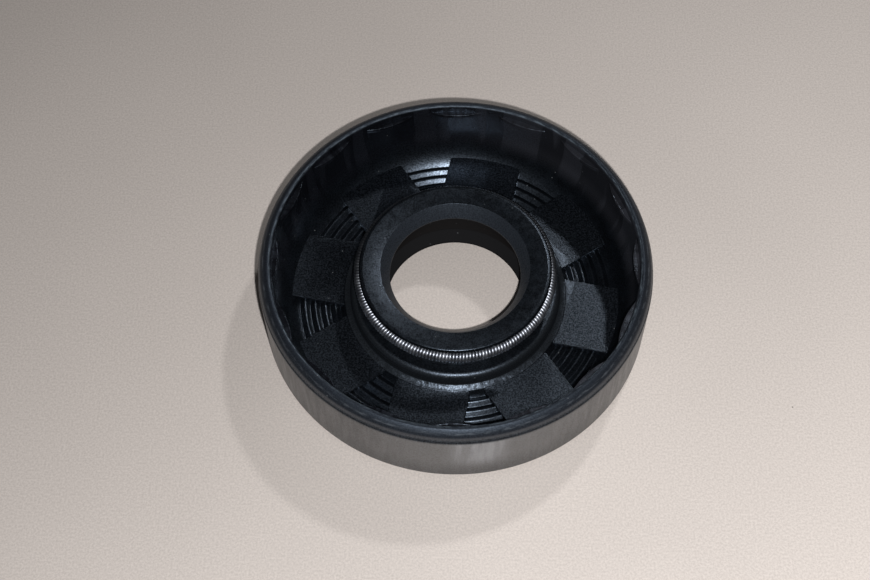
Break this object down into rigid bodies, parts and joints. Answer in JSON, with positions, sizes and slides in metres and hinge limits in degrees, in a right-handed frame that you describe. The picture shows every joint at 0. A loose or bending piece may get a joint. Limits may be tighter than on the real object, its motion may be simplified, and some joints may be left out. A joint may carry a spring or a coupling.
{
  "type": "radial shaft seal",
  "caption": "Rubber-covered rotary shaft seal with a sprung sealing lip, a dust lip, raised radial pads and a hidden steel stiffening ring.",
  "frame": {"origin": "centre of the flat air-side face, on the seal's axis", "axes": "+Z along the seal's axis, from the air side towards the spring side; +X and +Y in the air-side face"},
  "size_m": [0.042, 0.042, 0.01],
  "materials": {
    "nitrile_rubber": "satin moulded rubber with a slight bloom",
    "sheet_steel": "phosphated sheet steel, fully covered",
    "spring_steel": "drawn spring wire, oiled"
  },
  "bodies": {
    "root": {"rubber_body": "nitrile_rubber", "stiffening_ring": "sheet_steel", "garter_spring": "spring_steel"}
  },
  "joints": []
}
